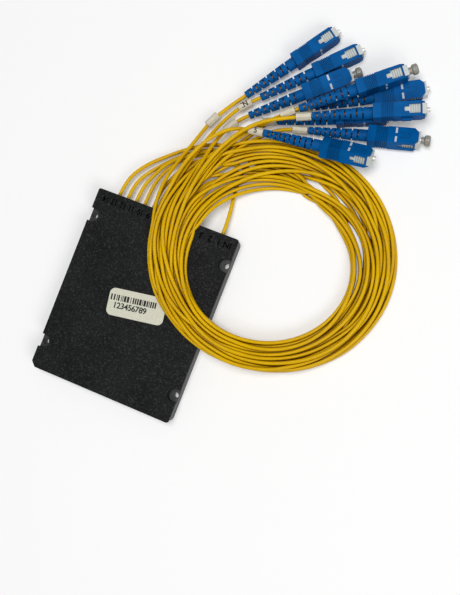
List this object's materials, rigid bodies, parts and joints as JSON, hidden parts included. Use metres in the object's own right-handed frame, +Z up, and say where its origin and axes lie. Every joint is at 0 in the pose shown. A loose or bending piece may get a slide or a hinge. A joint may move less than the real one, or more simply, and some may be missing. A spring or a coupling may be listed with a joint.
{
  "type": "fibre optic splitter",
  "caption": "Flat black box that splits one optical fibre, with thin yellow pigtails wound in a coil and ending in blue push-pull SC plugs.",
  "frame": {"origin": "middle of the box's underside", "axes": "+Z up out of the cover, +Y towards the wall that the pigtails leave by, +X along that wall"},
  "size_m": [0.1606, 0.2192, 0.0184],
  "materials": {
    "box_abs": "spark-textured moulding",
    "cord_jacket": "satin cable jacket",
    "connector_blue": "moulded, satin",
    "frame_white": "moulded",
    "zirconia": "ground",
    "boot_rubber": "soft moulded",
    "cap_grey": "translucent moulding",
    "label_paper": "matt sticker",
    "sleeve_cream": "heat-shrunk wrap",
    "resin": "cured epoxy",
    "chip_steel": "drawn tube",
    "bare_fibre": "coated fibre"
  },
  "bodies": {
    "splitter": {"barcode_label": "label_paper", "base_tray": "box_abs", "boot_1": "boot_rubber", "boot_2": "boot_rubber", "boot_3": "boot_rubber", "boot_4": "boot_rubber", "boot_5": "boot_rubber", "boot_6": "boot_rubber", "boot_7": "boot_rubber", "boot_8": "boot_rubber", "boot_in": "boot_rubber", "cable_anchor": "resin", "chip_module": "chip_steel", "cover": "box_abs", "fibre_ring": "bare_fibre", "number_sleeves": "sleeve_cream", "pigtail_1": "cord_jacket", "pigtail_2": "cord_jacket", "pigtail_3": "cord_jacket", "pigtail_4": "cord_jacket", "pigtail_5": "cord_jacket", "pigtail_6": "cord_jacket", "pigtail_7": "cord_jacket", "pigtail_8": "cord_jacket", "pigtail_coil": "cord_jacket", "pigtail_in": "cord_jacket", "plug_frame_1": "frame_white", "plug_frame_2": "frame_white", "plug_frame_3": "frame_white", "plug_frame_4": "frame_white", "plug_frame_5": "frame_white", "plug_frame_6": "frame_white", "plug_frame_7": "frame_white", "plug_frame_8": "frame_white", "plug_frame_in": "frame_white"},
    "grip_in": {"grip_in": "connector_blue"},
    "ferrule_in": {"ferrule_in": "zirconia"},
    "grip_1": {"grip_1": "connector_blue"},
    "ferrule_1": {"ferrule_1": "zirconia"},
    "grip_2": {"grip_2": "connector_blue"},
    "ferrule_2": {"ferrule_2": "zirconia"},
    "dust_cap_2": {"dust_cap_2": "cap_grey"},
    "grip_3": {"grip_3": "connector_blue"},
    "ferrule_3": {"ferrule_3": "zirconia"},
    "dust_cap_3": {"dust_cap_3": "cap_grey"},
    "grip_4": {"grip_4": "connector_blue"},
    "ferrule_4": {"ferrule_4": "zirconia"},
    "grip_5": {"grip_5": "connector_blue"},
    "ferrule_5": {"ferrule_5": "zirconia"},
    "grip_6": {"grip_6": "connector_blue"},
    "ferrule_6": {"ferrule_6": "zirconia"},
    "grip_7": {"grip_7": "connector_blue"},
    "ferrule_7": {"ferrule_7": "zirconia"},
    "dust_cap_7": {"dust_cap_7": "cap_grey"},
    "grip_8": {"grip_8": "connector_blue"},
    "ferrule_8": {"ferrule_8": "zirconia"},
    "dust_cap_8": {"dust_cap_8": "cap_grey"}
  },
  "joints": [
    {"name": "grip_pull_in", "type": "slide", "parent": "splitter", "child": "grip_in", "axis": [0.7193, 0.6947, 0], "range_m": [-0.0015, 0]},
    {"name": "ferrule_press_in", "type": "slide", "parent": "splitter", "child": "ferrule_in", "axis": [0.7193, 0.6947, 0], "range_m": [-0.001, 0], "stiffness_N_per_m": 800, "springref_m": 0.001},
    {"name": "grip_pull_1", "type": "slide", "parent": "splitter", "child": "grip_1", "axis": [0.5878, 0.809, 0], "range_m": [-0.0015, 0]},
    {"name": "ferrule_press_1", "type": "slide", "parent": "splitter", "child": "ferrule_1", "axis": [0.5878, 0.809, 0], "range_m": [-0.001, 0], "stiffness_N_per_m": 800, "springref_m": 0.001},
    {"name": "grip_pull_2", "type": "slide", "parent": "splitter", "child": "grip_2", "axis": [0.7604, 0.6494, 0], "range_m": [-0.0015, 0]},
    {"name": "ferrule_press_2", "type": "slide", "parent": "splitter", "child": "ferrule_2", "axis": [0.7604, 0.6494, 0], "range_m": [-0.001, 0], "stiffness_N_per_m": 800, "springref_m": 0.001},
    {"name": "cap_pull_2", "type": "slide", "parent": "splitter", "child": "dust_cap_2", "axis": [0.7604, 0.6494, 0], "range_m": [0, 0.007]},
    {"name": "grip_pull_3", "type": "slide", "parent": "splitter", "child": "grip_3", "axis": [0.788, 0.6157, 0], "range_m": [-0.0015, 0]},
    {"name": "ferrule_press_3", "type": "slide", "parent": "splitter", "child": "ferrule_3", "axis": [0.788, 0.6157, 0], "range_m": [-0.001, 0], "stiffness_N_per_m": 800, "springref_m": 0.001},
    {"name": "cap_pull_3", "type": "slide", "parent": "splitter", "child": "dust_cap_3", "axis": [0.788, 0.6157, 0], "range_m": [0, 0.007]},
    {"name": "grip_pull_4", "type": "slide", "parent": "splitter", "child": "grip_4", "axis": [0.8829, 0.4695, 0], "range_m": [-0.0015, 0]},
    {"name": "ferrule_press_4", "type": "slide", "parent": "splitter", "child": "ferrule_4", "axis": [0.8829, 0.4695, 0], "range_m": [-0.001, 0], "stiffness_N_per_m": 800, "springref_m": 0.001},
    {"name": "grip_pull_5", "type": "slide", "parent": "splitter", "child": "grip_5", "axis": [0.9945, 0.1045, 0], "range_m": [-0.0015, 0]},
    {"name": "ferrule_press_5", "type": "slide", "parent": "splitter", "child": "ferrule_5", "axis": [0.9945, 0.1045, 0], "range_m": [-0.001, 0], "stiffness_N_per_m": 800, "springref_m": 0.001},
    {"name": "grip_pull_6", "type": "slide", "parent": "splitter", "child": "grip_6", "axis": [0.9272, 0.3746, 0], "range_m": [-0.0015, 0]},
    {"name": "ferrule_press_6", "type": "slide", "parent": "splitter", "child": "ferrule_6", "axis": [0.9272, 0.3746, 0], "range_m": [-0.001, 0], "stiffness_N_per_m": 800, "springref_m": 0.001},
    {"name": "grip_pull_7", "type": "slide", "parent": "splitter", "child": "grip_7", "axis": [0.9304, 0.3665, 0], "range_m": [-0.0015, 0]},
    {"name": "ferrule_press_7", "type": "slide", "parent": "splitter", "child": "ferrule_7", "axis": [0.9304, 0.3665, 0], "range_m": [-0.001, 0], "stiffness_N_per_m": 800, "springref_m": 0.001},
    {"name": "cap_pull_7", "type": "slide", "parent": "splitter", "child": "dust_cap_7", "axis": [0.9304, 0.3665, 0], "range_m": [0, 0.007]},
    {"name": "grip_pull_8", "type": "slide", "parent": "splitter", "child": "grip_8", "axis": [0.9703, 0.2419, 0], "range_m": [-0.0015, 0]},
    {"name": "ferrule_press_8", "type": "slide", "parent": "splitter", "child": "ferrule_8", "axis": [0.9703, 0.2419, 0], "range_m": [-0.001, 0], "stiffness_N_per_m": 800, "springref_m": 0.001},
    {"name": "cap_pull_8", "type": "slide", "parent": "splitter", "child": "dust_cap_8", "axis": [0.9703, 0.2419, 0], "range_m": [0, 0.007]}
  ]
}
